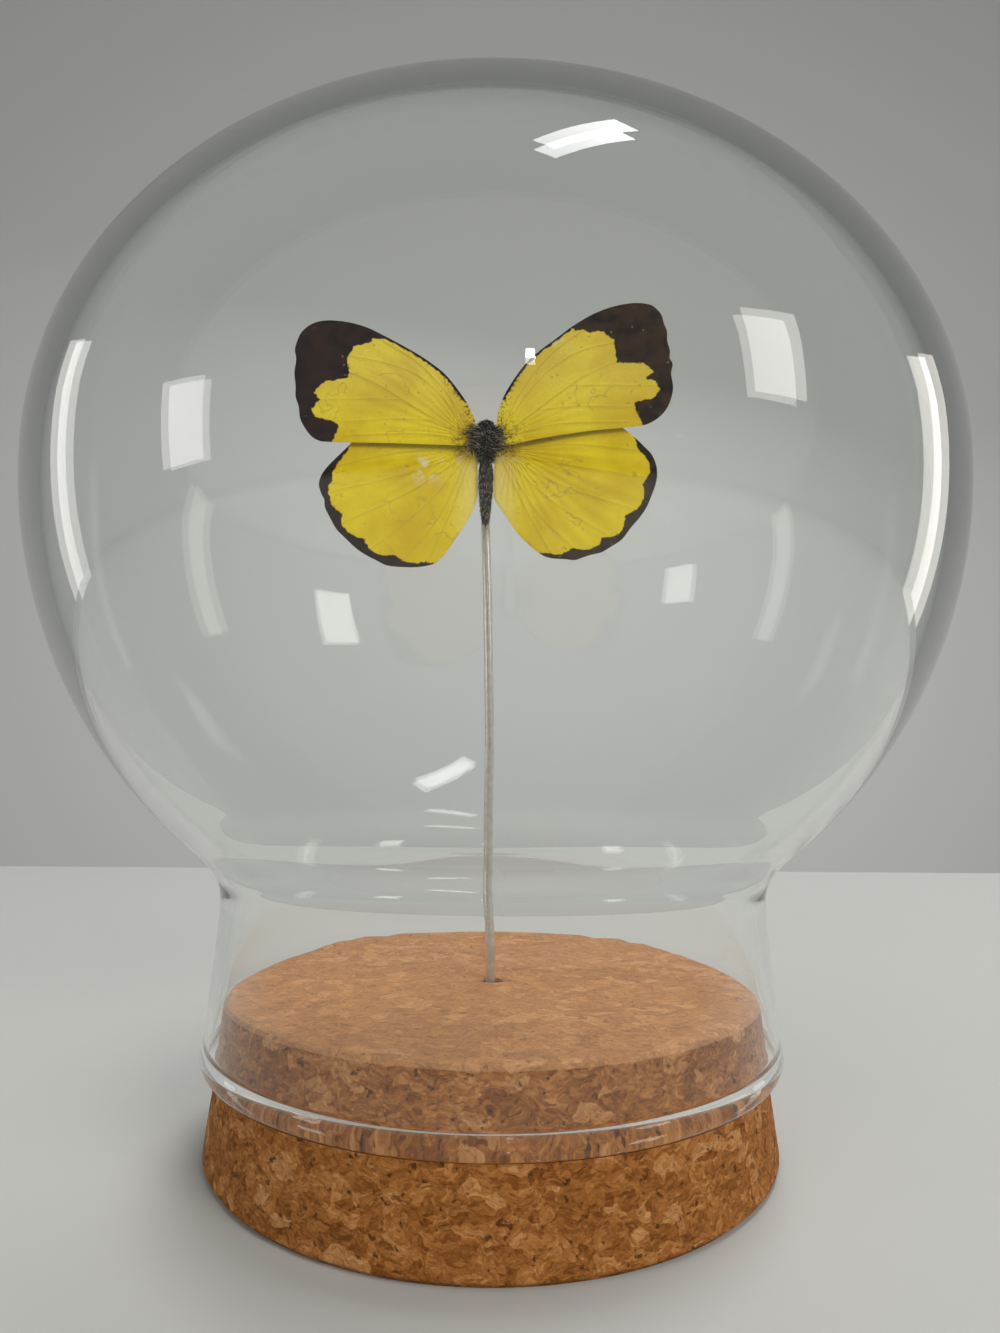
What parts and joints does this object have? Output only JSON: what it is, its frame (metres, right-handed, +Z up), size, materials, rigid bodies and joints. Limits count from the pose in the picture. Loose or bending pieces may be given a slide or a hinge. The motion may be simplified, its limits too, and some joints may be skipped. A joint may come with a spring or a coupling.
{
  "type": "butterfly in glass dome",
  "caption": "Spread yellow butterfly on a wire stem over a round cork base, under a clear glass globe with a short flared neck.",
  "frame": {"origin": "middle of the cork's underside", "axes": "+Z up through the globe, -Y towards the viewer, who sees the butterfly's upper side; +X to the viewer's right"},
  "size_m": [0.1, 0.1, 0.1098],
  "materials": {
    "cork": "agglomerated cork, matt",
    "glass": "clear blown glass, fire-polished lip",
    "wire": "dull drawn wire",
    "body": "dark hairy insect body",
    "wing": "yellow scaled wing with black-brown margin"
  },
  "bodies": {
    "root": {"cork_base": "cork", "glass_dome": "glass", "mounting_wire": "wire", "butterfly_body": "body", "forewing_left": "wing", "forewing_right": "wing", "hindwing_left": "wing", "hindwing_right": "wing"}
  },
  "joints": []
}
